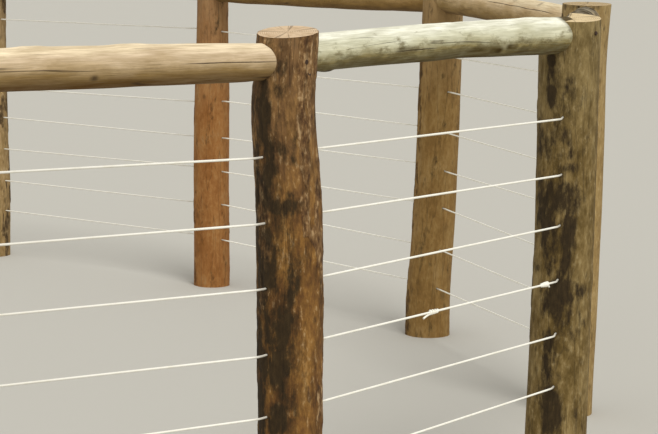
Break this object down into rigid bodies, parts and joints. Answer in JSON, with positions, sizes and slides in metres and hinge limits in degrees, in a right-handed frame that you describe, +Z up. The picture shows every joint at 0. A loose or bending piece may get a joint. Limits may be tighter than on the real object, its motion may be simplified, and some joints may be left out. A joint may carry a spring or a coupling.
{
  "type": "farm fence",
  "caption": "Curved run of round-timber farm fence with a pole top rail in each bay and taut white coated strands drilled through the posts.",
  "frame": {"origin": "centre of the middle post's foot, at ground level, on its flat lower face", "axes": "+Z up the posts, +X along the run at the middle post, -Y towards the outer side of the curve"},
  "size_m": [6.2053, 2.3921, 1.396],
  "materials": {
    "post_timber": "weathered round timber with bark remnants",
    "rail_timber": "debarked pole, weathered",
    "coated_strand": "white polymer coat over wire",
    "sleeve_metal": "crimped, dull"
  },
  "bodies": {
    "root": {"post_1": "post_timber", "post_2": "post_timber", "post_3": "post_timber", "post_4": "post_timber", "post_5": "post_timber", "post_6": "post_timber", "post_7": "post_timber", "rail_1": "rail_timber", "rail_2": "rail_timber", "rail_3": "rail_timber", "rail_4": "rail_timber", "rail_5": "rail_timber", "rail_6": "rail_timber", "wire_1": "coated_strand", "wire_2": "coated_strand", "wire_3": "coated_strand", "wire_4": "coated_strand", "wire_5": "coated_strand", "wire_6": "coated_strand", "wire_7": "coated_strand", "splice_knot": "coated_strand", "splice_ferrule": "coated_strand", "end_sleeves_a": "sleeve_metal", "end_sleeves_b": "sleeve_metal"}
  },
  "joints": []
}
